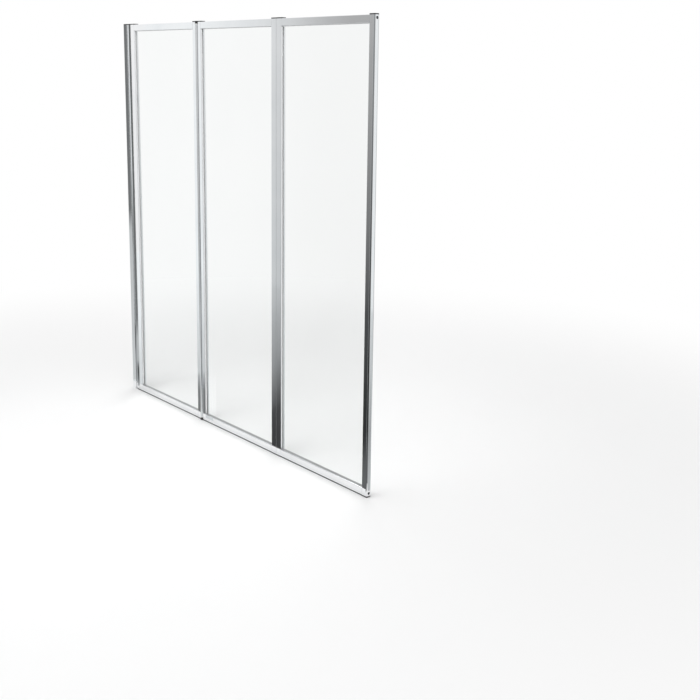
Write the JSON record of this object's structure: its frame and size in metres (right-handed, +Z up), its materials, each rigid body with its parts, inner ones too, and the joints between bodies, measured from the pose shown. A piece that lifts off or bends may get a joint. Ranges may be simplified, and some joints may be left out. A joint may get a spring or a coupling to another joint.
{
  "type": "bath screen",
  "caption": "Framed folding bath screen: hinged panels of clear glass in polished frames fold back against an upright profile that screws to the wall.",
  "frame": {"origin": "where the wall face of the wall channel meets the ledge, at the middle of the channel's depth", "axes": "+X from the wall along the closed screen, +Y through the glass towards the bath, +Z up"},
  "size_m": [1.3, 0.026, 1.3],
  "materials": {
    "polished_aluminium": "bright polished",
    "clear_glass": "clear toughened",
    "grey_gasket": "matt",
    "screw_steel": "plain",
    "pin_steel": "ground",
    "white_nylon": "matt",
    "soft_seal": "satin",
    "bright_cap": "bright plated",
    "black_nylon": "fine grain"
  },
  "bodies": {
    "wall_side": {"wall_channel": "polished_aluminium", "wall_post": "polished_aluminium", "channel_top_cap": "black_nylon", "channel_fixing_screws": "screw_steel", "fixing_screw_caps": "bright_cap", "post_end_caps": "black_nylon", "post_hinge_bushes": "white_nylon"},
    "inner_panel": {"inner_hinge_stile": "polished_aluminium", "inner_bottom_rail": "polished_aluminium", "inner_top_rail": "polished_aluminium", "inner_glass": "clear_glass", "inner_glazing_gasket": "grey_gasket", "inner_frame_screws": "screw_steel", "inner_bottom_seal": "soft_seal", "inner_bottom_hinge_cap": "black_nylon", "inner_top_hinge_cap": "black_nylon", "inner_hinge_pins": "pin_steel", "inner_seam_seal": "soft_seal", "inner_end_caps": "black_nylon", "inner_barrel_stile": "polished_aluminium", "inner_hinge_bushes": "white_nylon"},
    "middle_panel": {"middle_hinge_stile": "polished_aluminium", "middle_bottom_rail": "polished_aluminium", "middle_top_rail": "polished_aluminium", "middle_glass": "clear_glass", "middle_glazing_gasket": "grey_gasket", "middle_frame_screws": "screw_steel", "middle_bottom_seal": "soft_seal", "middle_bottom_hinge_cap": "black_nylon", "middle_top_hinge_cap": "black_nylon", "middle_hinge_pins": "pin_steel", "middle_seam_seal": "soft_seal", "middle_end_caps": "black_nylon", "middle_barrel_stile": "polished_aluminium", "middle_hinge_bushes": "white_nylon"},
    "outer_panel": {"outer_hinge_stile": "polished_aluminium", "outer_bottom_rail": "polished_aluminium", "outer_top_rail": "polished_aluminium", "outer_glass": "clear_glass", "outer_glazing_gasket": "grey_gasket", "outer_frame_screws": "screw_steel", "outer_bottom_seal": "soft_seal", "outer_bottom_hinge_cap": "black_nylon", "outer_top_hinge_cap": "black_nylon", "outer_hinge_pins": "pin_steel", "outer_seam_seal": "soft_seal", "outer_end_caps": "black_nylon", "outer_free_stile": "polished_aluminium"}
  },
  "joints": [
    {"name": "wall_hinge", "type": "hinge", "parent": "wall_side", "child": "inner_panel", "pos_m": [0.0475, 0.009, 0.6505], "axis": [0, 0, 1], "range_deg": [0, 90]},
    {"name": "first_fold_hinge", "type": "hinge", "parent": "inner_panel", "child": "middle_panel", "pos_m": [0.465, -0.009, 0.6505], "axis": [0, 0, -1], "range_deg": [0, 180]},
    {"name": "second_fold_hinge", "type": "hinge", "parent": "middle_panel", "child": "outer_panel", "pos_m": [0.8825, 0.009, 0.6505], "axis": [0, 0, 1], "range_deg": [0, 180]}
  ]
}
